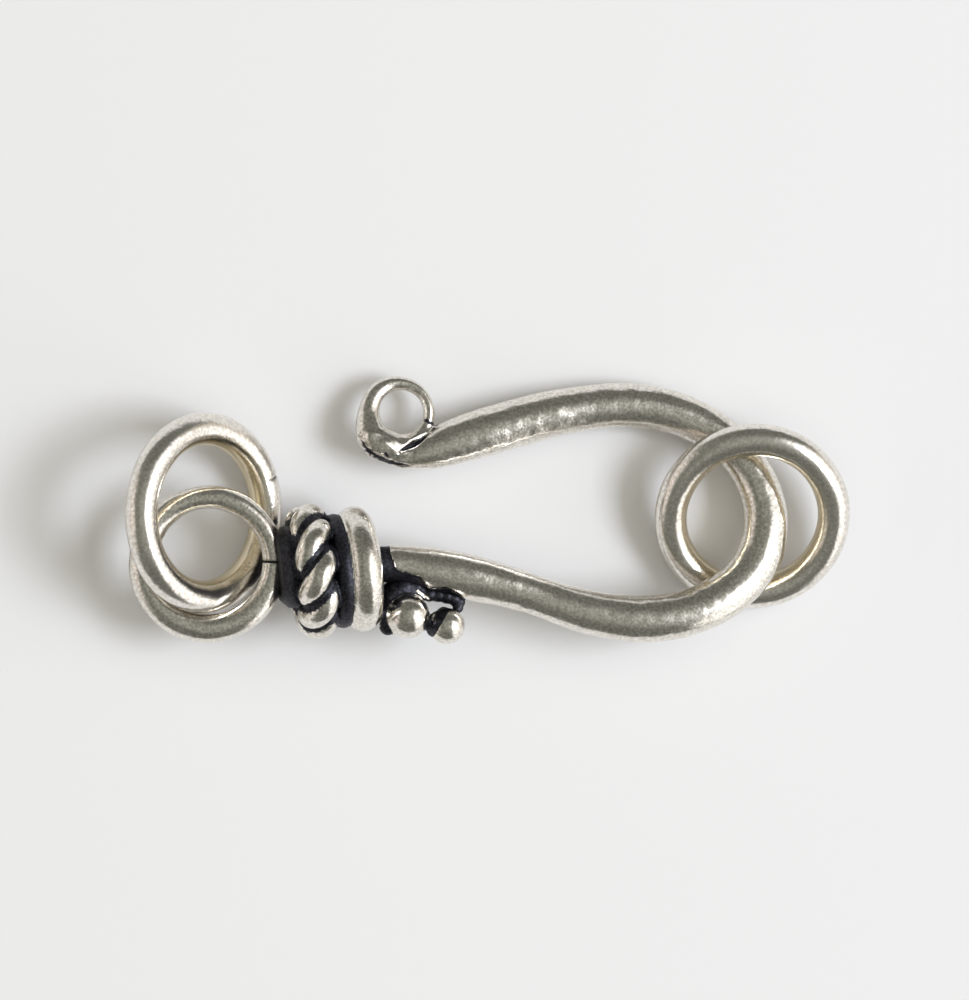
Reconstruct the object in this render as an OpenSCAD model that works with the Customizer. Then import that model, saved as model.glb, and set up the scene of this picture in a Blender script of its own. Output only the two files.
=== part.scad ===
// Hook and eye clasp in oxidised cast silver, lying on a table as it comes off a necklace.
// Millimetres, +Z up. +X runs along the clasp, from its loose jump ring to its eye ring.
// The origin lies on the table, under the middle of the clasp.

/* [Hook] */
// Length from the middle of the rope band to the middle of the wire at the far end of the bend
hook_l = 18.45; // [16.5:0.05:21]
// Height between the lowest and the highest middle of the wire, measured in the hook's own plane
hook_h = 8.75; // [7.8:0.05:10]
// Thickness of the hook's wire where it is fullest
wire_d = 1.95; // [1.6:0.05:2.2]
// Thickness of the wire across the hook's plane, as a share of its width in the plane
wire_flat = 0.94; // [0.8:0.01:1.05]

/* [Tip curl] */
// Diameter of the round hole in the curled tip
curl_hole_d = 1.85; // [1.2:0.05:2.2]
// Thickness of the curled tail where it leaves the arm
curl_root_d = 0.86; // [0.7:0.02:1.1]
// Thickness of the curled tail at its thinnest
curl_thin_d = 0.42; // [0.34:0.01:0.6]
// Least thickness of the curled tail across the hook's plane
curl_depth = 0.62; // [0.4:0.02:0.8]

/* [Collar] */
// Outer diameter of the twisted rope band
rope_od = 5.5; // [5:0.05:6]
// Thickness of the rope, two strands together
rope_d = 1.72; // [1.4:0.02:1.8]
// Number of full twists of the rope round the band
rope_twists = 5; // [4:1:8]
// Depth of the groove between the strands, as a share of the rope's own radius
groove_depth = 0.5; // [0.4:0.05:0.6]
// Outer diameter of the plain round band
band_od = 5.05; // [4.6:0.05:5.4]
// Thickness of the plain band's wire
band_wire_d = 1.35; // [1:0.05:1.6]
// Distance from the middle of the collar to the middle of the plain band
band_x = 1.74; // [1.7:0.02:1.9]
// How far the middle of the rope band lies back from the middle of the collar
rope_back = 0.12; // [0:0.02:0.2]
// Angle by which the rope band's upper side leans back towards the end ring
rope_lean = 3; // [0:0.5:5]
// Diameter of the neck and core that carry both bands
neck_d = 3.3; // [2.8:0.05:3.8]
// Length of bare neck between the end ring and the rope band
neck_l = 0.65; // [0.6:0.02:0.7]
// Width of the slope round the neck's end
neck_bevel = 0.34; // [0.3:0.02:0.5]
// How far the neck sits off the middle of the bands, towards the curled tip
neck_off = 0.25; // [0:0.05:0.3]
// How far the plain band sits off the middle of the rope band, away from the curled tip
band_off = 0.12; // [0:0.02:0.2]
// Angle by which the collar is turned from the hook's length
collar_turn = 6; // [0:1:10]

/* [Granules] */
// Diameter of the larger granule, next to the plain band
granule_d = 1.78; // [1.5:0.02:2]
// Diameter of the smaller granule, beyond it
granule_small_d = 1.46; // [1.2:0.02:1.7]
// Distance along the clasp from the middle of the collar to the larger granule
granule_x = 3.72; // [3.6:0.02:3.8]
// Distance along the clasp from the larger granule to the smaller
granule_step = 1.57; // [1.5:0.01:1.6]
// Distance of the larger granule to the side, away from the curled tip
granule_side = 1.85; // [1.75:0.05:1.95]
// How much farther to the side the smaller granule lies
granule_small_side = 0.4; // [0.3:0.02:0.5]

/* [End ring] */
// Outer diameter of the closed ring soldered to the neck
end_ring_od = 6.28; // [6.2:0.02:6.4]
// Thickness of the end ring's wire where it is thickest
end_wire_d = 1.2; // [1:0.05:1.3]
// Thickness of the same wire where it is thinnest
end_wire_thin_d = 0.88; // [0.7:0.02:1]
// Depth to which the ring's wire is let into the neck
end_let_in = 0.1; // [0.06:0.01:0.16]
// How far the ring's middle lies to the side of the collar's, towards the curled tip
end_side = 0.38; // [0.35:0.01:0.4]
// How far the ring's middle lies below the collar's
end_drop = 0.4; // [0.3:0.05:0.5]
// Angle by which the ring is twisted out of the hook's own plane, about the clasp's length
end_twist = 12; // [10:1:14]
// Angle by which the ring's far side sags below the hook's own plane
end_sag = 8; // [6:1:10]

/* [Rings] */
// Outer diameter of the eye ring
eye_od = 7.9; // [7.6:0.05:8.2]
// Outer diameter of the loose jump ring
jump_od = 8; // [7.8:0.05:8.2]
// Thickness of both rings' wire
ring_wire_d = 1.3; // [1.2:0.02:1.32]

/* [Rest] */
// Clear gap left where one piece lies on another
rest_gap = 0.1; // [0.05:0.01:0.2]
// How far the eye ring's middle lies back from the wire at the bend
eye_back = 0.6; // [0.5:0.05:0.7]
// How far the eye ring's middle lies to the side of the collar's, towards the curled tip
eye_side = 2.14; // [2.05:0.02:2.2]
// How far the eye ring's high side is turned from straight across the clasp
eye_turn = -10; // [-15:1:0]
// How far the jump ring's middle lies back from the end ring's, away from the hook
jump_back = 0.24; // [0.22:0.01:0.26]
// How far the jump ring's middle lies to the side of the end ring's, towards the curled tip
jump_side = 1.92; // [1.9:0.01:1.94]
// How far the jump ring's high side is turned from straight along the clasp
jump_turn = 3; // [2:0.5:4]
// Angle at which the jump ring leans over the end ring's far limb
jump_tilt = 36; // [35:0.5:37]

/* [Hidden] */
silver = "silver";
// Sides of a swept wire and of the rope
wire_sides = 14;
rope_sides = 20;
// Steps between two rows of the hook's table and of the curl's
wire_steps = 3;
curl_steps = 4;
// Steps round the end ring, and along one twist of the rope
end_steps = 40;
twist_steps = 12;
// How narrow the groove between the strands is: a higher power of the sine is narrower
groove_sharp = 5;
// Angle round the collar, from its upper side, at which a strand lies outermost
strand_start = 17;
// Angle round the end ring at which its wire is thinnest
end_thin_at = 50;
// How far the curl's middle lies back from the arm's end, as a share of how far it lies above it,
// and how much of its root's thickness lies between its hole and the arm's middle
curl_back = 1.08;
curl_drop = 0.6;
// Height of the eye ring's upper side under the lower arm, as a share of its wire's thickness,
// and the slope at which its wire and the upper arm's face each other
eye_crossing = 1.04;
eye_steep = 20;
// How much lower the upper arm reaches just beyond the row that lies on the table
arm_swell = 0.015;
// Rows of the hook's table: the lowest, and the one that lies on the table
LOW_ROW = 9;
TABLE_ROW = 18;
$fn = 48;

function lerp(a, b, t) = a + (b - a) * t;
function unit(v) = v / norm(v);

// One value on the smooth curve from p1 to p2, with p0 and p3 beyond them
function between(p0, p1, p2, p3, t) =
    0.5 * (2 * p1 + (p2 - p0) * t + (2 * p0 - 5 * p1 + 4 * p2 - p3) * t * t
        + (3 * p1 - p0 - 3 * p2 + p3) * t * t * t);

// The rows of a table with "steps" rows for each span
function smooth(rows, steps) = let (n = len(rows) - 1) [
    for (i = [0:n - 1], k = [0:steps - 1])
        between(rows[max(i - 1, 0)], rows[i], rows[i + 1], rows[min(i + 2, n)], k / steps),
    rows[n]
];

// The same for a table that closes on itself
function smooth_loop(rows, steps) = let (n = len(rows)) [
    for (i = [0:n - 1], k = [0:steps - 1])
        between(rows[(i + n - 1) % n], rows[i], rows[(i + 1) % n], rows[(i + 2) % n], k / steps)
];

// The hook's wire, from inside the collar round the bend to the root of the curled tip.
// Each row is [share of hook_l, share of hook_h, share of wire_d].
HOOK_ROWS = [
    [0.100, 0.030, 0.80],
    [0.170, 0.028, 0.79],
    [0.220, 0.018, 0.84],
    [0.265, 0.000, 0.93],
    [0.336, -0.034, 0.97],
    [0.400, -0.062, 0.89],
    [0.465, -0.102, 0.82],
    [0.545, -0.162, 0.86],
    [0.645, -0.216, 0.95],
    [0.735, -0.228, 0.97],
    [0.822, -0.200, 0.96],
    [0.905, -0.120, 0.96],
    [0.970, 0.010, 0.94],
    [1.000, 0.180, 0.94],
    [0.993, 0.360, 0.87],
    [0.948, 0.535, 0.83],
    [0.875, 0.668, 0.85],
    [0.790, 0.744, 0.90],
    [0.700, 0.772, 0.91],
    [0.607, 0.757, 0.93],
    [0.515, 0.719, 0.98],
    [0.423, 0.667, 1.00],
    [0.333, 0.609, 0.98],
    [0.282, 0.570, 0.86]
];

// The curled tail, a closed loop round its hole, anticlockwise from the side by the bend.
// Each row is [angle, share of the way from curl_thin_d to curl_root_d].
CURL_ROWS = [
    [0, 0.00],
    [45, 0.05],
    [90, 0.15],
    [135, 0.50],
    [180, 0.90],
    [225, 1.00],
    [270, 0.70],
    [315, 0.25]
];

// The end of the arm, laid against the underside of the curl.
// Each row is [angle round the hole, share of the root thickness out from the hole's edge,
// thickness as a share of curl_root_d].
ARM_END_ROWS = [
    [-68, 1.04, 1.52],
    [-84, 1.08, 1.08],
    [-100, 1.03, 1.00],
    [-116, 0.98, 0.92],
    [-130, 0.95, 0.86],
    [-142, 0.92, 0.70],
    [-152, 0.88, 0.45]
];

hook_points = [for (r = HOOK_ROWS)
    [r[0] * hook_l, r[1] * hook_h, r[2] * wire_d, r[2] * wire_d * wire_flat]];
arm_end = hook_points[len(hook_points) - 1];
// The middle of the curl's hole lies back from the arm's end and above it
curl_reach = curl_hole_d / 2 + curl_root_d * curl_drop;
curl_at = [arm_end.x - curl_reach * curl_back, arm_end.y + curl_reach];
function round_curl(angle, out, d) =
    let (radius = curl_hole_d / 2 + out)
    [curl_at.x + radius * cos(angle), curl_at.y + radius * sin(angle), d, max(d, curl_depth)];
curl_points = [for (r = CURL_ROWS)
    let (d = lerp(curl_thin_d, curl_root_d, r[1])) round_curl(r[0], d / 2, d)];
arm_end_points = [for (r = ARM_END_ROWS)
    round_curl(r[0], r[1] * curl_root_d, r[2] * curl_root_d)];
hook_path = smooth(concat(hook_points, arm_end_points), wire_steps);

// Middle radii of the rings, and of the bands round the collar
eye_r = (eye_od - ring_wire_d) / 2;
jump_r = (jump_od - ring_wire_d) / 2;
end_r = (end_ring_od - (end_wire_d + end_wire_thin_d) / 2) / 2;
rope_r = (rope_od - rope_d) / 2;
band_r = (band_od - band_wire_d) / 2;
// The neck's end, and the middle of the end ring, whose wire is let into it
neck_x = -rope_d / 2 - neck_l;
end_at = [neck_x - end_r - end_let_in, end_side];

// The hook lies on three points: the rope band and the highest point of its upper arm touch the
// table, and its lower arm lies on the eye ring.
collar_z = rope_od / 2;
eye_mid = [hook_l - eye_back, eye_side];
function beyond_eye(p) = norm([p.x, p.y] - eye_mid) - eye_r;
// Where the hook's wire crosses the eye ring's: on the lower arm, then on the upper
crossings = [
    for (i = [0:len(hook_path) - 2])
        let (p = hook_path[i], q = hook_path[i + 1], a = beyond_eye(p), b = beyond_eye(q))
        if (p.x > hook_l / 2 && a * b < 0) lerp(p, q, a / (a - b))
];
on_ring = crossings[0];
under_ring = crossings[1];
on_table = hook_points[TABLE_ROW];
table_drop = on_table[3] / 2 + arm_swell - collar_z;
ring_drop = ring_wire_d * eye_crossing + rest_gap + on_ring[3] / 2 - collar_z;
slope_y = (table_drop * on_ring.x - ring_drop * on_table.x)
    / (on_table.y * on_ring.x - on_ring.y * on_table.x);
slope_x = (table_drop - slope_y * on_table.y) / on_table.x;
hook_tilt = [asin(slope_y), -asin(slope_x), 0];
function hook_z(x, y) = collar_z + slope_x * x + slope_y * y;

// Tilt of a ring of middle radius r whose low side lies on the table and whose wire stands
// "rise" above its lowest place, "out" from the ring's middle on the high side
function lean(rise, r, out, t = 25, n = 8) =
    n == 0 ? t : lean(rise, r, out, asin(rise / (r + out / cos(t))), n - 1);

// The eye ring leans on the upper arm
eye_up = [sin(-eye_turn), cos(eye_turn)];
eye_out = ([under_ring.x, under_ring.y] - eye_mid) * eye_up;
eye_rise = hook_z(under_ring.x, under_ring.y) + rest_gap - ring_wire_d / 2
    + (under_ring[3] + ring_wire_d) / 2 / cos(eye_steep);
eye_tilt = lean(eye_rise, eye_r, eye_out);

// The jump ring lies across the end ring's far limb, with its low side by the neck
jump_mid = end_at + [-jump_back, jump_side];

// The middle of the whole clasp, seen from the middle of the collar
reach_right = eye_mid.x + eye_od / 2;
reach_left = jump_mid.x - jump_r * cos(jump_tilt) - ring_wire_d / 2;
reach_up = curl_at.y + curl_hole_d / 2 + curl_thin_d;
reach_down = hook_points[LOW_ROW].y - wire_d / 2;
clasp_mid = [(reach_left + reach_right) / 2, (reach_up + reach_down) / 2];

// Skins a tube over "loops", a list of rings with the same number of points. Its ends are
// capped, or it closes on itself.
module skin(loops, closed = false) {
    n = len(loops[0]);
    last = len(loops) - 1;
    spans = closed ? last : last - 1;
    caps = closed ? [] : [[for (j = [0:n - 1]) j], [for (j = [n - 1:-1:0]) last * n + j]];
    polyhedron(
        points = [for (loop = loops) each loop],
        faces = [
            each caps,
            for (i = [0:spans], j = [0:n - 1])
                let (k = (j + 1) % n, next = (i + 1) % (last + 1))
                each [[i * n + j, next * n + j, i * n + k],
                    [next * n + j, next * n + k, i * n + k]]
        ],
        convexity = 6
    );
}

// One section of wire: an ellipse round "at", spread along two directions
function section(at, side, side_r, up, up_r, sides) =
    [for (j = [0:sides - 1])
        let (a = 360 * j / sides) at + side * side_r * cos(a) + up * up_r * sin(a)];

// Wire lying in the XY plane. Each row is [x, y, width in the plane, thickness across it].
module flat_wire(rows, closed = false) {
    n = len(rows);
    skin([
        for (i = [0:n - 1])
            let (
                here = rows[i],
                ahead = rows[closed ? (i + 1) % n : min(i + 1, n - 1)],
                back = rows[closed ? (i + n - 1) % n : max(i - 1, 0)],
                way = unit([ahead.x - back.x, ahead.y - back.y, 0])
            )
            section([here.x, here.y, 0], [-way.y, way.x, 0], here[2] / 2,
                [0, 0, 1], here[3] / 2, wire_sides)
    ], closed);
}

module ring(mid_r, wire) {
    rotate_extrude() translate([mid_r, 0]) circle(d = wire);
}

// A ring lying tilted on the table, its high side towards "turn" round +Z from +Y
module tilted_ring(mid, mid_r, turn, tilt) {
    translate([mid.x, mid.y, mid_r * sin(tilt) + ring_wire_d / 2])
        rotate([0, 0, turn]) rotate([tilt, 0, 0]) ring(mid_r, ring_wire_d);
}

module hook_wire() {
    flat_wire(hook_path);
    flat_wire(smooth_loop(curl_points, curl_steps), closed = true);
}

module end_ring() {
    translate([end_at.x, end_at.y, -end_drop]) rotate([end_twist, -end_sag, 0]) flat_wire([
        for (i = [0:end_steps - 1])
            let (
                a = 360 * i / end_steps,
                d = lerp(end_wire_d, end_wire_thin_d, (1 + cos(a - end_thin_at)) / 2)
            )
            [end_r * cos(a), end_r * sin(a), d, d]
    ], closed = true);
}

// The rope of two strands, twisted as it goes round the collar. Its section is a round with a
// groove on either side, between the strands.
function rope_radius(a) = rope_d / 2 * (1 - groove_depth * pow(abs(sin(a)), groove_sharp));

module rope() {
    steps = rope_twists * twist_steps;
    skin([
        for (i = [0:steps - 1])
            let (
                a = 360 * i / steps,
                twist = rope_twists * (a - strand_start),
                out = [0, sin(a), cos(a)]
            )
            [for (j = [0:rope_sides - 1])
                let (t = 360 * j / rope_sides, r = rope_radius(t))
                out * (rope_r + r * cos(twist + t)) + [r * sin(twist + t), 0, 0]]
    ], closed = true);
}

module collar() {
    rotate([0, 0, collar_turn]) {
        translate([neck_x, neck_off, 0]) rotate([0, 90, 0]) {
            cylinder(d1 = neck_d - 2 * neck_bevel, d2 = neck_d, h = neck_bevel);
            translate([0, 0, neck_bevel])
                cylinder(d = neck_d, h = band_x - neck_x - neck_bevel + band_wire_d / 4);
        }
        translate([-rope_back, 0, 0]) rotate([0, -rope_lean, 0]) rope();
        translate([band_x, -band_off, 0]) rotate([0, 90, 0]) ring(band_r, band_wire_d);
    }
}

// The solder that holds the granules to the band, to the shank and to each other. Each row is
// [along the clasp from the larger granule, to the side, diameter], all shares of granule_d.
SOLDER_ROWS = [
    [-0.28, 0.48, 0.70],
    [-0.42, 0.06, 0.60],
    [0.48, -0.12, 0.37],
    [1.00, 0.21, 0.37]
];

module ball(at, d) {
    translate([at.x, at.y, 0]) sphere(d = d);
}

module granules() {
    large_at = [granule_x, -granule_side];
    ball(large_at, granule_d);
    ball(large_at + [granule_step, -granule_small_side], granule_small_d);
    for (r = SOLDER_ROWS)
        ball(large_at + granule_d * [r[0], r[1]], granule_d * r[2]);
}

module hook() {
    color(silver) translate([-clasp_mid.x, -clasp_mid.y, collar_z]) rotate(hook_tilt) {
        hook_wire();
        end_ring();
        collar();
        granules();
    }
}

module jump_ring() {
    color(silver) tilted_ring(jump_mid - clasp_mid, jump_r, 90 + jump_turn, jump_tilt);
}

module eye_ring() {
    color(silver) tilted_ring(eye_mid - clasp_mid, eye_r, eye_turn, eye_tilt);
}

hook();
jump_ring();
eye_ring();
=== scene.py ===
# The clasp's visual model, its floor, its light and its camera. Sizes are in millimetres in the
# clasp's own layout and turn to metres as each piece is made.

import bpy
import numpy as np
from math import cos, pi, radians, sin
from mathutils import Matrix, Vector


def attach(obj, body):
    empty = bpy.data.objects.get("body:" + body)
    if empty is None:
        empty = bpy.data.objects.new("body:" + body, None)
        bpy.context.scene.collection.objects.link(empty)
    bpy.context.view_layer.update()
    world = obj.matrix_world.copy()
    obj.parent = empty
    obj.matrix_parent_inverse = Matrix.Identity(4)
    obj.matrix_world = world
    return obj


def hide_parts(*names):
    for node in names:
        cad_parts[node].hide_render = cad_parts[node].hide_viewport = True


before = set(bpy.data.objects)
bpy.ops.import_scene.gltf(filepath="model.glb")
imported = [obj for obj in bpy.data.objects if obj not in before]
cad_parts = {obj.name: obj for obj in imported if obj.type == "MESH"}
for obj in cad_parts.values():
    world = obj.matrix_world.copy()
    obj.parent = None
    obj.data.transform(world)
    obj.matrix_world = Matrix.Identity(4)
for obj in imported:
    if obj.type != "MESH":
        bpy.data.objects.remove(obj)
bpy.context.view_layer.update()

MM = 0.001

# The hook, in its own plane
HOOK_L = 18.45
HOOK_H = 8.75
WIRE_D = 1.95
WIRE_FLAT = 0.94
CURL_HOLE_D = 1.85
CURL_ROOT_D = 0.86
CURL_THIN_D = 0.42
CURL_DEPTH = 0.62
CURL_BACK = 1.08
CURL_DROP = 0.6

# The collar
ROPE_OD = 5.5
ROPE_D = 1.72
ROPE_TWISTS = 5
STRAND_D = 1.04
ROPE_BACK = 0.12
ROPE_LEAN = 3
BAND_OD = 5.05
BAND_WIRE_D = 1.35
BAND_X = 1.74
BAND_OFF = 0.12
NECK_D = 3.3
NECK_L = 0.65
NECK_BEVEL = 0.34
NECK_OFF = 0.25
NECK_X = -ROPE_D / 2 - NECK_L
COLLAR_TURN = 6
# Angle round the collar, from its upper side, at which a strand lies outermost
STRAND_START = 24
# How far the twist runs ahead and behind, in radians of twist, which makes the rope looser on its
# upper side, and the angle round the collar at which it is loosest
TWIST_SLACK = 0.65
LOOSEST_AT = 10
# The solder that fills the groove between the rope and the plain band
GROOVE_X = 0.93
GROOVE_R = 2.3
GROOVE_FILL_D = 0.8

# The granules
GRANULE_D = 1.78
GRANULE_SMALL_D = 1.46
GRANULE_X = 3.72
GRANULE_STEP = 1.57
GRANULE_SIDE = 1.85
GRANULE_SMALL_SIDE = 0.4
LARGE_AT = np.array([GRANULE_X, -GRANULE_SIDE, 0])
SMALL_AT = LARGE_AT + [GRANULE_STEP, -GRANULE_SMALL_SIDE, 0]

# The end ring, with the side on which its join is
END_RING_OD = 6.28
END_WIRE_D = 1.2
END_WIRE_THIN_D = 0.88
END_THIN_AT = 50
END_LET_IN = 0.1
END_SIDE = 0.38
END_DROP = 0.4
END_TWIST = 12
END_SAG = 8
END_JOIN_SIDE = 0.0
END_JOIN_W = 0.06
END_JOIN_DEPTH = 0.05

# The loose rings, where they lie and how they lean
RING_WIRE_D = 1.3
EYE_OD = 7.9
EYE_MID = (17.85, 2.14)
EYE_TURN = -10
EYE_TILT = 17.92
JUMP_OD = 8.0
JUMP_MID = (-4.47, 2.3)
JUMP_TURN = 93
JUMP_TILT = 36
# The nick of the jump ring's join: its angle round the ring, its width and its depth
NICK_AT = 289
NICK_W = 0.05
NICK_DEPTH = 0.06

# The whole clasp on the table: its middle seen from the collar's, and how the hook leans
CLASP_MID = (6.9849, 2.40175)
COLLAR_Z = ROPE_OD / 2
HOOK_TILT = (-12.1324, 2.1356)

# Size of the cubes with which the arm and its curl, and then the collar, are fused
HOOK_VOXEL = 0.057
COLLAR_VOXEL = 0.05

# The hook's wire, from inside the collar round the bend to the root of the curled tip:
# share of HOOK_L, share of HOOK_H, share of WIRE_D
HOOK_ROWS = [
    (0.100, 0.030, 0.80),
    (0.170, 0.028, 0.79),
    (0.220, 0.018, 0.84),
    (0.265, 0.000, 0.93),
    (0.336, -0.034, 0.97),
    (0.400, -0.062, 0.89),
    (0.465, -0.102, 0.82),
    (0.545, -0.162, 0.86),
    (0.645, -0.216, 0.95),
    (0.735, -0.228, 0.97),
    (0.822, -0.200, 0.96),
    (0.905, -0.120, 0.96),
    (0.970, 0.010, 0.94),
    (1.000, 0.180, 0.94),
    (0.993, 0.360, 0.87),
    (0.948, 0.535, 0.83),
    (0.875, 0.668, 0.85),
    (0.790, 0.744, 0.90),
    (0.700, 0.772, 0.91),
    (0.607, 0.757, 0.93),
    (0.515, 0.719, 0.98),
    (0.423, 0.667, 1.00),
    (0.333, 0.609, 0.98),
    (0.282, 0.570, 0.86),
]

# The curled tail, a closed loop round its hole: angle, share of the way from CURL_THIN_D to
# CURL_ROOT_D. It is fullest at its lower left, where it runs into the arm's end.
CURL_ROWS = [
    (0, 0.10), (45, 0.12), (90, 0.30), (135, 0.70),
    (180, 0.95), (225, 2.25), (270, 1.75), (315, 0.36),
]

# The end of the arm, laid against the underside of the curl: angle round the hole, share of
# CURL_ROOT_D out from the hole's edge, thickness as a share of CURL_ROOT_D
ARM_END_ROWS = [
    (-68, 1.04, 1.52),
    (-84, 1.08, 1.08),
    (-100, 1.03, 1.00),
    (-116, 0.98, 0.92),
    (-130, 0.95, 0.86),
    (-142, 0.92, 0.70),
    (-152, 0.88, 0.45),
]

# Solder round the granules: along and to the side from the larger one, diameter, all as shares
# of GRANULE_D, and how far all of it lies below their middles, also as a share of GRANULE_D
SOLDER_ROWS = [
    (-0.28, 0.50, 0.66),
    (-0.47, 0.08, 0.50),
    (-0.44, -0.22, 0.40),
    (-0.06, 0.66, 0.56),
    (0.20, 0.66, 0.46),
    (0.32, 0.54, 0.34),
    (0.52, 0.52, 0.36),
    (0.72, 0.50, 0.34),
    (0.92, 0.47, 0.36),
    (1.08, 0.42, 0.34),
    (1.20, 0.34, 0.28),
    (1.17, 0.20, 0.24),
    (0.50, -0.14, 0.32),
    (0.62, -0.28, 0.38),
    (0.68, -0.04, 0.34),
    (0.84, 0.04, 0.38),
]
SOLDER_LOW = 0.12

# The bright slit that runs between the shank and the larger granule, then between the granules,
# and how deep it is cut in the shank and in the solder
SLIT = [(4.12, -0.86), (4.50, -1.12), (4.74, -1.33), (4.72, -1.70), (4.69, -2.05)]
SLIT_W = 0.06
SLIT_SHANK_DEPTH = 0.05
SLIT_SOLDER_DEPTH = 0.06

# The way that the black side of the smaller granule faces
BLACK_SIDE = (-0.864, 0.504)

# The lower edge of the shank's polished tongue, and where the tongue starts, just past the band
TONGUE_EDGE = [
    (2.95, 0.60), (3.02, 0.50), (3.13, 0.04), (3.33, -0.13), (3.82, -0.25), (4.15, -0.33),
    (4.31, -0.53), (4.57, -0.82), (5.25, -0.82), (5.80, -1.08), (6.04, -1.30), (6.20, -3.00),
]
TONGUE_START = 2.99
# How far the black metal lies below the polished
BLACK_DEPTH = 0.05

# The black crease where the curl's root lies on the arm
CREASE = [(3.45, 4.70), (3.85, 4.93), (4.25, 5.20), (4.66, 5.52)]
CREASE_W = 0.13
CREASE_DEPTH = 0.22
# The dark seam line below it, along the arm's lower edge, which isn't as black: partly oxide in its
# shallow groove, partly painted shade of the undercut there
TIP_SEAM = [(1.92, 5.22), (2.20, 4.80), (2.53, 4.57), (2.93, 4.38), (3.40, 4.27), (3.85, 4.20)]
TIP_SEAM_W = 0.12
TIP_SEAM_DEPTH = 0.04
TIP_SEAM_BLACK = 0.74
# Two dark spots, each a line and its width: a dark spot among the lumps below the curl, and painted
# shade in the crevice where the curl's thin end lies on the arm
DARK_SPOTS = [
    ([(2.90, 4.66), (2.97, 4.58)], 0.07),
    ([(4.60, 6.06), (4.72, 5.94), (5.05, 5.88)], 0.08),
]
SPOT_BLACK = 0.8

# The floor reaches this far each way, in metres
FLOOR_REACH = 1.2
# The room's window, a little brighter than white
WINDOW_GLOW = (1.4, 1.38, 1.35, 1.0)

# The camera's lean to the left and to the near side, its roll, the middle of its view seen from the
# collar's middle, and its distance in metres
CAMERA_LEAN = (7.5, -3.5)
CAMERA_ROLL = -0.59
VIEW_MID = (6.78, 2.82)
CAMERA_FAR = 0.4
LENS = 360

HOOK_PLACE = (
    Matrix.Translation((-CLASP_MID[0], -CLASP_MID[1], COLLAR_Z))
    @ Matrix.Rotation(radians(HOOK_TILT[1]), 4, "Y")
    @ Matrix.Rotation(radians(HOOK_TILT[0]), 4, "X")
)
COLLAR_WAY = np.array(Matrix.Rotation(radians(COLLAR_TURN), 3, "Z"))


# Smooth curves, slopes and noise

def smooth(rows, steps, closed=False):
    """Rows with steps rows for each span, on a smooth curve through the given ones."""
    rows = np.array(rows, float)
    n = len(rows)
    spans = n if closed else n - 1
    pick = (lambda i: rows[i % n]) if closed else (lambda i: rows[np.clip(i, 0, n - 1)])
    i = np.repeat(np.arange(spans), steps)
    t = np.tile(np.arange(steps) / steps, spans)[:, None]
    p0, p1, p2, p3 = pick(i - 1), pick(i), pick(i + 1), pick(i + 2)
    out = 0.5 * (
        2 * p1 + (p2 - p0) * t + (2 * p0 - 5 * p1 + 4 * p2 - p3) * t ** 2
        + (3 * p1 - p0 - 3 * p2 + p3) * t ** 3
    )
    return out if closed else np.vstack([out, rows[-1]])


def soften(rows, width, closed=False):
    """The same rows with the kinks between spans averaged away over width rows each way."""
    reach = int(3 * width)
    weights = np.exp(-0.5 * (np.arange(-reach, reach + 1) / width) ** 2)
    weights /= weights.sum()
    if closed:
        padded = np.vstack([rows[-reach:], rows, rows[:reach]])
    else:
        lead = 2 * rows[0] - rows[reach:0:-1]
        tail = 2 * rows[-1] - rows[-2:-reach - 2:-1]
        padded = np.vstack([lead, rows, tail])
    return np.stack([np.convolve(c, weights, "valid") for c in padded.T], axis=1)


def ramp(values, none_at, full_at):
    """0 up to one value and 1 beyond the other, with an even slope between them."""
    return np.clip((values - none_at) / (full_at - none_at), 0, 1)


def ripple(points, size, seed, waves=16):
    """Smooth noise, mostly between -1 and 1, with features of the given size in mm."""
    rng = np.random.default_rng(seed)
    ways = rng.normal(size=(waves, 3))
    ways *= (rng.uniform(0.6, 1.5, waves) * pi / size / np.linalg.norm(ways, axis=1))[:, None]
    phase = rng.uniform(0, 2 * pi, waves)
    return np.cos(points.reshape(-1, 3) @ ways.T + phase).sum(axis=1) * (2 / waves) ** 0.5


def unit(v):
    return v / np.linalg.norm(v, axis=-1, keepdims=True)


# Meshes, as loops of points

def loops_along(mid, side, up, side_r, up_r, sides):
    """One loop of points round each middle, an ellipse spread along two directions."""
    a = 2 * pi * np.arange(sides) / sides
    return (
        mid[:, None, :]
        + side[:, None, :] * (side_r[:, None] * np.cos(a))[:, :, None]
        + up[:, None, :] * (up_r[:, None] * np.sin(a))[:, :, None]
    )


def skin(loops, closed):
    """Points and faces of a tube over the loops, closed on itself or capped."""
    n, m = loops.shape[:2]
    points = loops.reshape(-1, 3)
    i = np.arange(n if closed else n - 1)[:, None] * m
    j = np.arange(m)[None, :]
    here, across = i + j, i + (j + 1) % m
    ahead, both = (here + m) % (n * m), (across + m) % (n * m)
    faces = np.stack([here, across, both, ahead], axis=-1).reshape(-1, 4).tolist()
    if not closed:
        faces.append(list(range(m))[::-1])
        faces.append(list(range((n - 1) * m, n * m)))
    return points, faces


def move(points, place):
    m = np.array(place)
    return points @ m[:3, :3].T + m[:3, 3]


def mesh_of(name, points, faces):
    mesh = bpy.data.meshes.new(name)
    mesh.from_pydata(points.tolist(), [], faces)
    mesh.update()
    return mesh


def make_piece(name, points, faces, material, node, slot, **masks):
    """A piece of the clasp from points in mm, with one float mask per vertex for each name."""
    mesh = mesh_of(name, points * MM, faces)
    for mask, values in masks.items():
        layer = mesh.attributes.new(mask, "FLOAT", "POINT")
        layer.data.foreach_set("value", np.asarray(values, np.float32))
    mesh.shade_smooth()
    mesh.materials.append(material)
    piece = bpy.data.objects.new(name, mesh)
    bpy.context.scene.collection.objects.link(piece)
    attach(piece, "root")
    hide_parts(node)
    return piece


# Materials

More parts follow.
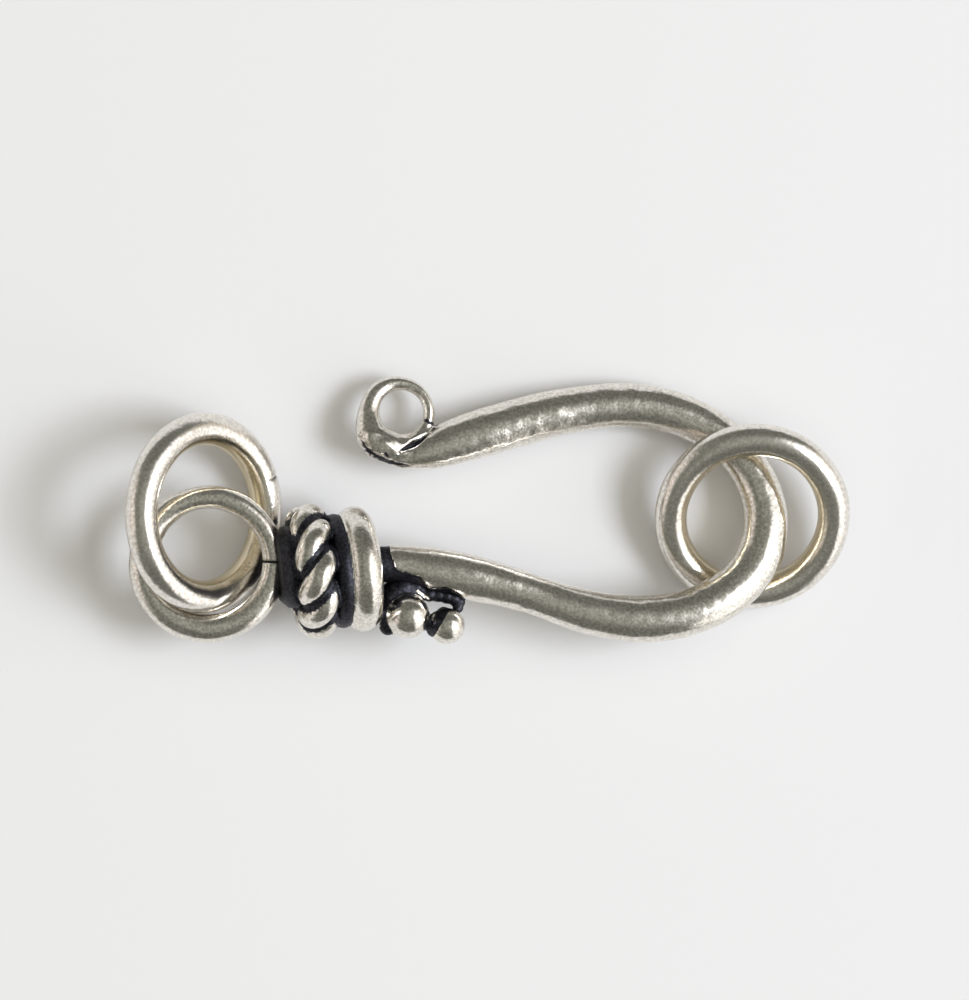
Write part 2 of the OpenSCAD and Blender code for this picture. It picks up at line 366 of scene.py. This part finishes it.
def linear(colour):
    """The linear colour of an sRGB hex value."""
    parts = [int(colour[k:k + 2], 16) / 255 for k in (1, 3, 5)]
    return [c / 12.92 if c <= 0.04045 else ((c + 0.055) / 1.055) ** 2.4 for c in parts] + [1.0]


def add(tree, kind, settings=None, **inputs):
    """A node with its settings. An input goes by its name, with _ for a space, or by its place,
    such as i0, and is linked from a socket or set to a value."""
    made = tree.nodes.new("ShaderNode" + kind)
    for key, value in (settings or {}).items():
        setattr(made, key, value)
    for key, value in inputs.items():
        by_place = key[0] == "i" and key[1:].isdigit()
        socket = made.inputs[int(key[1:]) if by_place else key.replace("_", " ")]
        if isinstance(value, bpy.types.NodeSocket):
            tree.links.new(value, socket)
        else:
            socket.default_value = value
    return made


def blank_material(name):
    material = bpy.data.materials.new(name)
    material.use_nodes = True
    material.node_tree.nodes.clear()
    return material, material.node_tree


def cast_oxidised_silver():
    """Cast sterling silver, dipped black and tumbled: bright on the high places, blue-black in
    the hollows, with a grainy edge between the two and a faintly pitted skin. The same black also
    paints shade: in the crevice where the curl's thin end lies on the arm, and in part of the seam
    line along the arm's lower edge below the curl. The grain is drawn coarser than the real one, so
    that it shows."""
    material, tree = blank_material("cast_oxidised_silver")
    place = add(tree, "TexCoord").outputs["Object"]
    # The mask of oxide and painted shade: mostly oxide, with painted shade in the curl's crevice
    # and along part of the seam line below it
    oxide = add(tree, "Attribute", {"attribute_name": "oxide"}).outputs["Fac"]
    grain = add(tree, "TexNoise", Vector=place, Scale=1 / (0.12 * MM), Detail=3.0, Roughness=0.65)
    fine = add(tree, "TexNoise", Vector=place, Scale=1 / (0.1 * MM), Detail=2.0, Roughness=0.6)
    wide = add(tree, "TexNoise", Vector=place, Scale=1 / (0.6 * MM), Detail=3.0)
    spots = add(tree, "MapRange", {"interpolation_type": "SMOOTHSTEP"},
                Value=wide.outputs["Fac"], From_Min=0.5, From_Max=0.75, To_Max=0.7)
    skin_grain = add(tree, "Math", {"operation": "ADD"}, i0=fine.outputs["Fac"],
                     i1=spots.outputs["Result"])
    edge = add(tree, "MapRange", {"clamp": False}, Value=grain.outputs["Fac"],
               From_Min=0.3, From_Max=0.7, To_Min=-0.22, To_Max=0.22)
    torn = add(tree, "Math", {"operation": "ADD"}, i0=oxide, i1=edge.outputs["Result"])
    black = add(tree, "MapRange", {"interpolation_type": "SMOOTHSTEP"}, Value=torn.outputs[0],
                From_Min=0.38, From_Max=0.62)
    film = add(tree, "MapRange", Value=grain.outputs["Fac"], From_Min=0.35, From_Max=0.65)
    bright = add(tree, "Mix", {"data_type": "RGBA"}, Factor=film.outputs["Result"],
                 A=linear("#fdf8f0"), B=linear("#cbc5bb"))
    soot = add(tree, "Mix", {"data_type": "RGBA"}, Factor=film.outputs["Result"],
               A=linear("#26262c"), B=linear("#4a4a50"))
    tone = add(tree, "Mix", {"data_type": "RGBA"}, Factor=black.outputs["Result"],
               A=bright.outputs[2], B=soot.outputs[2])
    rough = add(tree, "MapRange", Value=black.outputs["Result"], To_Min=0.2, To_Max=0.5)
    bump = add(tree, "Bump", Height=skin_grain.outputs[0], Strength=0.28, Distance=0.02 * MM)
    shader = add(tree, "BsdfPrincipled", Base_Color=tone.outputs[2], Metallic=1.0,
                 Roughness=rough.outputs["Result"], Normal=bump.outputs["Normal"])
    add(tree, "OutputMaterial", Surface=shader.outputs[0])
    return material


def drawn_silver_wire():
    """Drawn sterling silver wire, closed into rings and tumbled: bright and smooth, and dark in the
    nick of the join. Where it faces the middle of its ring it is a little yellow: partly tarnish
    that tumbling doesn't reach, partly a painted warm reflection of the metal across the ring. Its
    fine handling marks are drawn coarser than the real ones, so that they show."""
    material, tree = blank_material("drawn_silver_wire")
    place = add(tree, "TexCoord").outputs["Object"]
    marks = add(tree, "TexNoise", Vector=place, Scale=1 / (0.14 * MM), Detail=3.0, Roughness=0.65)
    bump = add(tree, "Bump", Height=marks.outputs["Fac"], Strength=0.45, Distance=0.02 * MM)
    rough = add(tree, "MapRange", Value=marks.outputs["Fac"], From_Min=0.3, From_Max=0.7,
                To_Min=0.14, To_Max=0.24)
    film = add(tree, "MapRange", Value=marks.outputs["Fac"], From_Min=0.35, From_Max=0.65)
    bright = add(tree, "Mix", {"data_type": "RGBA"}, Factor=film.outputs["Result"],
                 A=linear("#fbf6ef"), B=linear("#d8d2c9"))
    # Yellow on the ring's inner side: partly tarnish, partly a painted warm reflection of the metal
    # across the ring
    inner = add(tree, "Attribute", {"attribute_name": "inner_side"}).outputs["Fac"]
    warm = add(tree, "Mix", {"data_type": "RGBA"}, Factor=inner, A=bright.outputs[2],
               B=linear("#e2d6bb"))
    nick = add(tree, "Attribute", {"attribute_name": "nick"}).outputs["Fac"]
    tone = add(tree, "Mix", {"data_type": "RGBA"}, Factor=nick, A=warm.outputs[2],
               B=linear("#3a3836"))
    shader = add(tree, "BsdfPrincipled", Base_Color=tone.outputs[2], Metallic=1.0,
                 Roughness=rough.outputs["Result"], Normal=bump.outputs["Normal"])
    add(tree, "OutputMaterial", Surface=shader.outputs[0])
    return material


def white_paper():
    """Smooth white paper: matt. Its tooth is drawn coarser than the real one and hardly shows."""
    material, tree = blank_material("white_paper")
    place = add(tree, "TexCoord").outputs["Object"]
    tooth = add(tree, "TexNoise", Vector=place, Scale=1 / (0.5 * MM), Detail=3.0)
    bump = add(tree, "Bump", Height=tooth.outputs["Fac"], Strength=0.05, Distance=0.02 * MM)
    shader = add(tree, "BsdfPrincipled", Base_Color=linear("#e9e9e9"), Roughness=0.9,
                 Normal=bump.outputs["Normal"])
    add(tree, "OutputMaterial", Surface=shader.outputs[0])
    return material


# Fused metal: several closed parts made one skin, then smoothed and filled as solder does

def fuse(parts, voxel):
    """One closed skin over all the parts, in mm."""
    points, faces, n = [], [], 0
    for p, f in parts:
        points.append(p)
        faces.extend([[v + n for v in face] for face in f])
        n += len(p)
    mesh = mesh_of("fusing", np.vstack(points), faces)
    lump = bpy.data.objects.new("fusing", mesh)
    bpy.context.scene.collection.objects.link(lump)
    remesh = lump.modifiers.new("fuse", "REMESH")
    remesh.mode = "VOXEL"
    remesh.voxel_size = voxel
    done = lump.evaluated_get(bpy.context.evaluated_depsgraph_get()).to_mesh()
    out = np.empty(len(done.vertices) * 3)
    done.vertices.foreach_get("co", out)
    quads = np.empty(len(done.polygons) * 4, int)
    done.polygons.foreach_get("vertices", quads)
    edges = np.empty(len(done.edges) * 2, int)
    done.edges.foreach_get("vertices", edges)
    lump.to_mesh_clear()
    bpy.data.objects.remove(lump)
    bpy.data.meshes.remove(mesh)
    return out.reshape(-1, 3), quads.reshape(-1, 4), edges.reshape(-1, 2)


def relax(values, edges, times, weight=0.5):
    """Values at the vertices, averaged along the edges a number of times."""
    n = len(values)
    ends = np.concatenate([edges[:, 0], edges[:, 1]])
    others = np.concatenate([edges[:, 1], edges[:, 0]])
    count = np.bincount(ends, minlength=n)[:, None]
    for _ in range(times):
        near = np.stack([np.bincount(ends, c[others], minlength=n) for c in values.T], axis=1)
        values = values + weight * (near / count - values)
    return values


def normals_of(points, quads):
    a, b, c, d = (points[quads[:, k]] for k in range(4))
    flat = np.cross(c - a, d - b)
    out = np.stack([
        sum(np.bincount(quads[:, k], flat[:, axis], minlength=len(points)) for k in range(4))
        for axis in range(3)
    ], axis=1)
    return unit(out)


def fillet(points, quads, edges, share, times):
    """Fills hollows as solder does, as far as the share at each vertex allows."""
    for _ in range(times):
        normals = normals_of(points, quads)
        rise = ((relax(points, edges, 1, 1.0) - points) * normals).sum(axis=1)
        points = points + normals * (np.maximum(rise, 0) * share * 0.8)[:, None]
    return points


# Marks along lines drawn on the hook

def along_line(points, line):
    """Distance of points from a line through given places in the XY plane, and how far along
    the line they lie, from 0 to 1."""
    line = np.array(line, float)
    best = np.full(len(points), 1e9)
    share = np.zeros(len(points))
    spans = len(line) - 1
    for k in range(spans):
        way = line[k + 1] - line[k]
        t = np.clip(((points[:, :2] - line[k]) @ way) / (way @ way), 0, 1)
        far = np.linalg.norm(points[:, :2] - line[k] - t[:, None] * way, axis=1)
        nearer = far < best
        best = np.where(nearer, far, best)
        share = np.where(nearer, (k + t) / spans, share)
    return best, share


def even_mark(points, line, width, core):
    """1 along a line and 0 beyond about its width. A higher core gives a wider middle."""
    far, _ = along_line(points, line)
    return np.clip(core - far / width, 0, 1)


def tapered_mark(points, line, width, core, blunt, taper):
    """The same for a mark that narrows towards both ends, less so if it is blunt."""
    far, share = along_line(points, line)
    width = width * np.sin(pi * np.clip(share, blunt, 1 - blunt)) ** taper
    return np.clip(core - far / width, 0, 1)


def slit(points):
    """1 in the bright slit by the granules and 0 away from it."""
    return even_mark(points, SLIT, SLIT_W, core=1.4) * ramp(points[:, 2], -0.1, 0)


# The hook's wire and its curled tip

def curl_middle():
    x, y = HOOK_ROWS[-1][0] * HOOK_L, HOOK_ROWS[-1][1] * HOOK_H
    reach = CURL_HOLE_D / 2 + CURL_ROOT_D * CURL_DROP
    return x - reach * CURL_BACK, y + reach


def round_curl(curl, angle, out, d):
    radius = CURL_HOLE_D / 2 + out
    a = radians(angle)
    return curl[0] + radius * cos(a), curl[1] + radius * sin(a), d, max(d, CURL_DEPTH)


def hook_rows():
    """Middles and sizes of the hook's wire: x, y, width in its plane, thickness across it."""
    rows = [(x * HOOK_L, y * HOOK_H, d * WIRE_D, d * WIRE_D * WIRE_FLAT) for x, y, d in HOOK_ROWS]
    curl = curl_middle()
    for angle, out, share in ARM_END_ROWS:
        rows.append(round_curl(curl, angle, out * CURL_ROOT_D, share * CURL_ROOT_D))
    return rows


def flat_wire(rows, sides, closed=False):
    """Loops round wire that lies in its own XY plane."""
    mid = np.column_stack([rows[:, :2], np.zeros(len(rows))])
    if closed:
        way = unit(np.roll(mid, -1, axis=0) - np.roll(mid, 1, axis=0))
    else:
        way = unit(np.gradient(mid, axis=0))
    side = np.column_stack([-way[:, 1], way[:, 0], np.zeros(len(rows))])
    up = np.tile([0.0, 0.0, 1.0], (len(rows), 1))
    return loops_along(mid, side, up, rows[:, 2] / 2, rows[:, 3] / 2, sides)


def cast_unevenness(loops, seed, swell, dent, swell_w=1.5, dent_w=0.45):
    """The same loops with the slow swells and small dents that casting and filing leave."""
    mid = loops.mean(axis=1, keepdims=True)
    out = unit(loops - mid)
    push = swell * ripple(loops, swell_w, seed) + dent * ripple(loops, dent_w, seed + 1)
    return loops + out * push.reshape(loops.shape[:2])[:, :, None]


def curl_loops():
    """Loops round the curled tail, a ring that the arm's end runs into."""
    rows = []
    curl = curl_middle()
    for angle, share in CURL_ROWS:
        d = CURL_THIN_D + (CURL_ROOT_D - CURL_THIN_D) * share
        rows.append(round_curl(curl, angle, d / 2, d))
    rows = soften(smooth(rows, 20, closed=True), 6, closed=True)
    return flat_wire(rows, 36, closed=True)


def fused_hook_wire():
    """Points, quads and edges of the arm and its curl, made one."""
    rows = soften(smooth(hook_rows(), 16), 6)
    arm = cast_unevenness(flat_wire(rows, 64), seed=3, swell=0.008, dent=0.003)
    parts = [skin(arm, closed=False), skin(curl_loops(), closed=True)]
    points, quads, edges = fuse(parts, HOOK_VOXEL)
    points = relax(points, edges, 4)
    # The curl's root is forged into the arm's end on its left, but not where the crease is
    by_root = ramp(points[:, 0], 4.1, 3.7) * ramp(points[:, 1], 6.3, 5.9)
    points = fillet(points, quads, edges, by_root, 70)
    return relax(points, edges, 3), quads, edges


def torch_lumps(points):
    """How far the surface stands out, uneven all over and lumpy where the curl meets the arm."""
    by_tip = ramp(points[:, 0], 4.3, 3.8) * ramp(points[:, 1], 2.6, 2.8)
    by_tip = by_tip * ramp(points[:, 1], 5.9, 5.5)
    return 0.013 * ripple(points, 0.22, 41) * by_tip + 0.003 * ripple(points, 0.3, 43)


def tongue_oxide(points):
    """Black below the polished tongue's edge and between its end and the band."""
    edge = np.interp(points[:, 0], [p[0] for p in TONGUE_EDGE], [p[1] for p in TONGUE_EDGE])
    below = (edge - points[:, 1]) / 0.2
    before = (TONGUE_START - points[:, 0]) / 0.12
    on_shank = ramp(points[:, 1], 2.6, 2.4)
    return np.clip(0.5 + np.maximum(below, before), 0, 1) * on_shank


def hook_wire(material):
    points, quads, edges = fused_hook_wire()
    normals = normals_of(points, quads)
    points = points + normals * torch_lumps(points)[:, None]
    crease = tapered_mark(points, CREASE, CREASE_W, core=1.15, blunt=0.04, taper=0.6)
    crease = crease * ramp(points[:, 2], 0, 0.15)
    points = points - normals * (CREASE_DEPTH * crease)[:, None]
    # The seam line below the curl: a shallow groove, darkened partly as oxide and partly as painted
    # shade of the undercut
    seam = tapered_mark(points, TIP_SEAM, TIP_SEAM_W, core=1.2, blunt=0.05, taper=0.5)
    seam = seam * (points[:, 2] > -0.3)
    points = points - normals * (TIP_SEAM_DEPTH * seam)[:, None]
    points = relax(points, edges, 1)
    # Black from the band to the polished tongue, and under its lower edge as far as the granules
    oxide = tongue_oxide(points)
    cut = slit(points)
    depth = BLACK_DEPTH * np.clip(2 * oxide - 0.5, 0, 1) + SLIT_SHANK_DEPTH * cut
    points = points - normals * depth[:, None]
    # The crease is black with oxide; the seam line below the curl is partly oxide and partly
    # painted shade of the undercut
    oxide = np.maximum(oxide, np.maximum(crease, TIP_SEAM_BLACK * seam)) * (1 - cut)
    # The dark spots: one among the lumps below the curl, and painted shade in the crevice at the
    # curl's thin end
    for line, width in DARK_SPOTS:
        spot = even_mark(points, line, width, core=1.5) * (points[:, 2] > -0.2)
        oxide = np.maximum(oxide, SPOT_BLACK * spot)
    make_piece("hook_wire", move(points, HOOK_PLACE), quads.tolist(), material, "hook",
               "oxidised_silver", oxide=oxide)


# The end ring

def end_ring(material):
    mid_r = (END_RING_OD - (END_WIRE_D + END_WIRE_THIN_D) / 2) / 2
    a = 2 * pi * np.arange(400) / 400
    thin = (1 + np.cos(a - radians(END_THIN_AT))) / 2
    d = END_WIRE_D + (END_WIRE_THIN_D - END_WIRE_D) * thin
    rows = np.column_stack([mid_r * np.cos(a), mid_r * np.sin(a), d, d])
    wire = flat_wire(rows, 44, closed=True)
    loops = cast_unevenness(wire, seed=15, swell=0.012, dent=0.003)
    points, faces = skin(loops, closed=True)
    # The join is a dark line across the wire, on the side by the neck alone
    off_join = np.abs(points[:, 1] - END_JOIN_SIDE)
    join = np.clip(1.3 - off_join / END_JOIN_W, 0, 1) * (points[:, 0] >= 0)
    out = unit(loops - loops.mean(axis=1, keepdims=True)).reshape(-1, 3)
    points = points - out * (END_JOIN_DEPTH * join)[:, None]
    place = (
        HOOK_PLACE
        @ Matrix.Translation((NECK_X - mid_r - END_LET_IN, END_SIDE, -END_DROP))
        @ Matrix.Rotation(radians(-END_SAG), 4, "Y")
        @ Matrix.Rotation(radians(END_TWIST), 4, "X")
    )
    make_piece("end_ring", move(points, place), faces, material, "hook",
               "oxidised_silver", oxide=join)


# The collar, fused from its parts

def ball(at, d, turns=32):
    """Points and faces of a closed ball, with no pole much finer than the rest."""
    lat = np.linspace(0, pi, turns // 2 + 1)[1:-1]
    a = 2 * pi * np.arange(turns) / turns
    rings = np.stack([
        np.outer(np.sin(lat), np.cos(a)),
        np.outer(np.sin(lat), np.sin(a)),
        np.outer(np.cos(lat), np.ones(turns)),
    ], axis=-1)
    return skin(rings[::-1] * d / 2 + np.array(at), closed=False)


def neck_bar(sides=64):
    """Points and faces of the bar that carries both bands, bevelled at its ends."""
    end_x = BAND_X + BAND_WIRE_D / 4
    full_r = NECK_D / 2
    end_r = full_r - NECK_BEVEL
    stops = [(NECK_X, end_r), (NECK_X + NECK_BEVEL, full_r)]
    stops += [(end_x - NECK_BEVEL, full_r), (end_x, end_r)]
    a = 2 * pi * np.arange(sides) / sides
    loops = np.stack([
        np.column_stack([np.full(sides, x), NECK_OFF + r * np.cos(a), r * np.sin(a)])
        for x, r in stops
    ])
    return skin(loops, closed=False)


def band(mid_r, d, x, steps=160, sides=32):
    """Points and faces of a plain ring round the collar."""
    a = 2 * pi * np.arange(steps) / steps
    out = np.column_stack([np.zeros(steps), np.sin(a), np.cos(a)])
    along = np.tile([1.0, 0.0, 0.0], (steps, 1))
    half = np.full(steps, d / 2)
    points, faces = skin(loops_along(out * mid_r, along, out, half, half, sides), closed=True)
    return points + [x, -BAND_OFF, 0], faces


def strand(start, steps=72, sides=28):
    """Points and faces of one strand of the rope, which winds round the collar and closes."""
    n = ROPE_TWISTS * steps
    rope_r = (ROPE_OD - ROPE_D) / 2
    off = (ROPE_D - STRAND_D) / 2
    a = 2 * pi * np.arange(n) / n
    slack = TWIST_SLACK * np.sin(a - radians(LOOSEST_AT))
    twist = ROPE_TWISTS * (a - radians(STRAND_START)) + start - slack
    out = np.column_stack([np.zeros(n), np.sin(a), np.cos(a)])
    along = np.tile([1.0, 0.0, 0.0], (n, 1))
    spoke = out * np.cos(twist)[:, None] + along * np.sin(twist)[:, None]
    mid = out * rope_r + spoke * off
    way = unit(np.roll(mid, -1, axis=0) - np.roll(mid, 1, axis=0))
    spoke = unit(spoke - way * (spoke * way).sum(axis=1, keepdims=True))
    across = np.cross(way, spoke)
    half = np.full(n, STRAND_D / 2)
    points, faces = skin(loops_along(mid, spoke, across, half, half, sides), closed=True)
    lean = np.array(Matrix.Rotation(radians(-ROPE_LEAN), 3, "Y"))
    return points @ lean.T - [ROPE_BACK, 0, 0], faces


def fused_collar():
    """Points, quads and edges of the neck, the bands, the granules and their solder, made one."""
    parts = [
        neck_bar(),
        strand(0.0),
        strand(pi),
        band((BAND_OD - BAND_WIRE_D) / 2, BAND_WIRE_D, BAND_X),
        band(GROOVE_R - GROOVE_FILL_D / 2, GROOVE_FILL_D, GROOVE_X),
    ]
    parts = [(points @ COLLAR_WAY.T, faces) for points, faces in parts]
    parts.append(ball(LARGE_AT, GRANULE_D))
    parts.append(ball(SMALL_AT, GRANULE_SMALL_D))
    for along, side, d in SOLDER_ROWS:
        at = LARGE_AT + GRANULE_D * np.array([along, side, -SOLDER_LOW])
        parts.append(ball(at, GRANULE_D * d))
    points, quads, edges = fuse(parts, COLLAR_VOXEL)
    points = relax(points, edges, 2)
    by_granules = ramp(points[:, 0], 2.3, 2.5) * (1 - slit(points))
    return fillet(points, quads, edges, by_granules, 25), quads, edges


def off_ball(points, at, d):
    """How far points lie outside a ball."""
    return np.linalg.norm(points - at, axis=1) - d / 2


def off_axis(local):
    """How far points lie from the axis of the plain band."""
    return np.linalg.norm(local[:, 1:] + [BAND_OFF, 0], axis=1)


def plain_band_oxide(local, oxide):
    """The plain band is polished but for its side in the groove by the rope and its inside."""
    along = local[:, 0] - BAND_X
    out = off_axis(local) - (BAND_OD - BAND_WIRE_D) / 2
    on_band = (np.hypot(along, out) < BAND_WIRE_D / 2 + 0.06) & (local[:, 0] > 1.0)
    round_wire = np.degrees(np.arctan2(along, out))
    unpolished = ramp(round_wire, -71, -85) + ramp(round_wire, 105, 119)
    return np.where(on_band, unpolished, oxide)


def groove_fill_oxide(local):
    """Black on the solder in the groove, where no strand stands over it."""
    out = off_axis(local) - (GROOVE_R - GROOVE_FILL_D / 2)
    off = np.abs(np.hypot(local[:, 0] - GROOVE_X, out) - GROOVE_FILL_D / 2)
    between = (local[:, 0] > 0.5) & (local[:, 0] < 1.15)
    return np.clip(1.4 - off / 0.05, 0, 1) * between


def granule_oxide(points):
    """Black on the solder outside the granules, and on the side of the smaller one that faces
    the solder."""
    off = np.minimum(off_ball(points, LARGE_AT, GRANULE_D),
                     off_ball(points, SMALL_AT, GRANULE_SMALL_D))
    on_solder = ramp(off, 0.02, 0.05)
    round_small = (points - SMALL_AT) / (GRANULE_SMALL_D / 2)
    past_edge = np.maximum(round_small[:, :2] @ BLACK_SIDE - 0.36, round_small[:, 1] - 0.76)
    on_side = ramp(past_edge, -0.075, 0.075)
    near_small = np.linalg.norm(round_small, axis=1) < 1.2
    return np.where(near_small, np.maximum(on_solder, on_side), on_solder)


def collar_oxide(points, height):
    """Black in the rope's hollows, on the neck and on the solder, from the height of each point
    above the surface round it."""
    local = points @ COLLAR_WAY
    oxide = plain_band_oxide(local, ramp(height, 0.066, 0.006))
    oxide = np.maximum(oxide, groove_fill_oxide(local))
    on_neck = ramp(local[:, 0], -0.975, -1.125)
    oxide = np.maximum(oxide, on_neck)
    beyond_band = np.linalg.norm(local - [BAND_X, -BAND_OFF, 0], axis=1) > 2.45
    by_granules = (local[:, 0] > 2.3) & beyond_band | (local[:, 0] > 2.5)
    return np.where(by_granules, granule_oxide(points), oxide)


def collar(material):
    points, quads, edges = fused_collar()
    normals = normals_of(points, quads)
    cut = slit(points) * ramp(off_ball(points, LARGE_AT, GRANULE_D), 0, 0.05)
    points = points - normals * (SLIT_SOLDER_DEPTH * cut)[:, None]
    height = ((points - relax(points, edges, 120)) * normals).sum(axis=1)
    oxide = collar_oxide(points, height) * (1 - cut)
    make_piece("collar", move(points, HOOK_PLACE), quads.tolist(), material, "hook",
               "oxidised_silver", oxide=oxide)


# The loose rings

def loose_ring(name, od, mid, turn, tilt, material, seed, nick_depth=0.0):
    """A ring of drawn wire. Where it has a depth, the nick of its join is a thin dark line on
    the ring's outer side."""
    steps, sides = 480, 44
    mid_r = (od - RING_WIRE_D) / 2
    a = 2 * pi * np.arange(steps) / steps
    d = np.full(steps, RING_WIRE_D)
    rows = np.column_stack([mid_r * np.cos(a), mid_r * np.sin(a), d, d])
    loops = cast_unevenness(flat_wire(rows, sides, closed=True), seed, swell=0.006, dent=0.002)
    round_wire = 2 * pi * np.arange(sides) / sides
    # The inner side takes the yellow that is partly tarnish and partly painted warm reflection
    inner_side = np.tile(np.clip(np.cos(round_wire) * 1.8 - 0.5, 0, 1), steps)
    outer_side = np.clip(0.6 - 1.6 * np.cos(round_wire), 0, 1) * (np.sin(round_wire) > -0.5)
    off_nick = np.abs(a - radians(NICK_AT)) * mid_r
    nick = np.clip(1.4 - off_nick / NICK_W, 0, 1)[:, None] * outer_side * (nick_depth > 0)
    mid_line = loops.mean(axis=1, keepdims=True)
    loops = loops - unit(loops - mid_line) * (nick_depth * nick)[:, :, None]
    points, faces = skin(loops, closed=True)
    low_side_up = mid_r * sin(radians(tilt)) + RING_WIRE_D / 2
    place = (
        Matrix.Translation((mid[0] - CLASP_MID[0], mid[1] - CLASP_MID[1], low_side_up))
        @ Matrix.Rotation(radians(turn), 4, "Z")
        @ Matrix.Rotation(radians(tilt), 4, "X")
    )
    make_piece(name, move(points, place), faces, material, name.replace("_wire", ""),
               "silver_wire", inner_side=inner_side, nick=nick.ravel())


# The floor, the light and the camera

def paper_floor(material):
    mesh = mesh_of("floor", FLOOR_REACH * np.array([
        [-1, -1, 0], [1, -1, 0], [1, 1, 0], [-1, 1, 0],
    ]), [[0, 1, 2, 3]])
    mesh.materials.append(material)
    floor = bpy.data.objects.new("floor", mesh)
    bpy.context.scene.collection.objects.link(floor)


def window_share(tree, across, far):
    """1 in the room's window and 0 outside it. It leans: its left edge starts further to the
    right on the near side, and its far edge reaches further on the right."""
    left_edge = add(tree, "MapRange", Value=far, From_Min=radians(5), From_Max=radians(-25),
                    To_Min=radians(20), To_Max=radians(30))
    far_edge = add(tree, "MapRange", Value=across, From_Min=radians(22), From_Max=radians(48),
                   To_Min=radians(30), To_Max=radians(47))
    past_left = add(tree, "Math", {"operation": "SUBTRACT"}, i0=across,
                    i1=left_edge.outputs["Result"]).outputs[0]
    past_far = add(tree, "Math", {"operation": "SUBTRACT"}, i0=far,
                   i1=far_edge.outputs["Result"]).outputs[0]
    window = 1.0
    for angle, dark_at, light_at in [(past_left, -4, 7), (across, 92, 70), (far, -102, -72),
                                     (past_far, 9, -9)]:
        edge = add(tree, "MapRange", {"interpolation_type": "SMOOTHSTEP"}, Value=angle,
                   From_Min=radians(dark_at), From_Max=radians(light_at))
        window = add(tree, "Math", {"operation": "MULTIPLY"}, i0=window,
                     i1=edge.outputs["Result"]).outputs[0]
    return window


def room_light():
    """A room with a dull ceiling, paler walls and a broad soft window on the right. Each tone
    comes in softly between two angles, across the clasp or to its far and near sides."""
    world = bpy.data.worlds.new("dull_room")
    world.use_nodes = True
    tree = world.node_tree
    tree.nodes.clear()
    way = add(tree, "SeparateXYZ", Vector=add(tree, "TexCoord").outputs["Generated"])
    across = add(tree, "Math", {"operation": "ARCSINE"}, i0=way.outputs["X"]).outputs[0]
    far = add(tree, "Math", {"operation": "ARCTAN2"}, i0=way.outputs["Y"],
              i1=way.outputs["Z"]).outputs[0]
    near_or_far = add(tree, "Math", {"operation": "ABSOLUTE"}, i0=far).outputs[0]
    tone = linear("#9b9c94")
    for angle, none_at, full_at, colour in [
        (near_or_far, 8, 52, "#6f706a"),
        (across, -8, -34, "#7a7b74"),
        (across, -42, -66, "#ece5de"),
        (across, 46, 66, "#d3cabd"),
    ]:
        share = add(tree, "MapRange", {"interpolation_type": "SMOOTHSTEP"}, Value=angle,
                    From_Min=radians(none_at), From_Max=radians(full_at))
        tone = add(tree, "Mix", {"data_type": "RGBA"}, Factor=share.outputs["Result"], A=tone,
                   B=linear(colour)).outputs[2]
    tone = add(tree, "Mix", {"data_type": "RGBA"}, Factor=window_share(tree, across, far), A=tone,
               B=WINDOW_GLOW).outputs[2]
    sky = add(tree, "Background", Color=tone, Strength=1.0)
    add(tree, "OutputWorld", Surface=sky.outputs[0])
    bpy.context.scene.world = world


def softbox(name, azimuth, elevation, width, height, power, colour, distance=0.6):
    """A soft panel light that faces the clasp, with its angles in degrees, its sizes and its
    distance in metres and its power in watts."""
    light = bpy.data.lights.new(name, "AREA")
    light.shape = "RECTANGLE"
    light.size = width
    light.size_y = height
    light.energy = power
    light.color = linear(colour)[:3]
    lamp = bpy.data.objects.new(name, light)
    a, e = radians(azimuth), radians(elevation)
    way = Vector((cos(a) * cos(e), sin(a) * cos(e), sin(e)))
    lamp.location = way * distance
    lamp.rotation_euler = way.to_track_quat("Z", "Y").to_euler()
    bpy.context.scene.collection.objects.link(lamp)
    return lamp


def camera():
    """From almost straight above, leaning a little to the left and to the far side."""
    lean_x, lean_y, roll = radians(CAMERA_LEAN[0]), radians(CAMERA_LEAN[1]), radians(CAMERA_ROLL)
    away = Vector((-sin(lean_x) * cos(lean_y), -sin(lean_y), cos(lean_x) * cos(lean_y)))
    right = Vector((cos(lean_x), 0, sin(lean_x)))
    up = away.cross(right)
    right, up = right * cos(roll) - up * sin(roll), up * cos(roll) + right * sin(roll)
    collar_at = Vector((-CLASP_MID[0], -CLASP_MID[1], COLLAR_Z))
    aim = (collar_at + right * VIEW_MID[0] + up * VIEW_MID[1]) * MM
    lens = bpy.data.cameras.new("camera")
    lens.sensor_width = 36
    lens.lens = LENS
    lens.clip_start = 0.01
    seat = bpy.data.objects.new("camera", lens)
    seat.matrix_world = Matrix.Translation(aim + away * CAMERA_FAR) @ Matrix(
        (right, up, away)).transposed().to_4x4()
    bpy.context.scene.collection.objects.link(seat)
    bpy.context.scene.camera = seat


def build():
    cast = cast_oxidised_silver()
    drawn = drawn_silver_wire()
    hook_wire(cast)
    end_ring(cast)
    collar(cast)
    loose_ring("eye_ring_wire", EYE_OD, EYE_MID, EYE_TURN, EYE_TILT, drawn, seed=21)
    loose_ring("jump_ring_wire", JUMP_OD, JUMP_MID, JUMP_TURN, JUMP_TILT, drawn, seed=27,
               nick_depth=NICK_DEPTH)
    paper_floor(white_paper())
    room_light()
    softbox("window_right", azimuth=1, elevation=48, width=0.28, height=0.2, power=2.2,
            colour="#eef4ff")
    overhead = softbox("overhead", azimuth=90, elevation=84, width=0.9, height=0.9, power=1.2,
                       colour="#fff5e8")
    # The metal would mirror so wide a panel as a flat glare
    overhead.visible_glossy = False
    camera()
    bpy.context.scene.view_settings.view_transform = "Standard"


build()
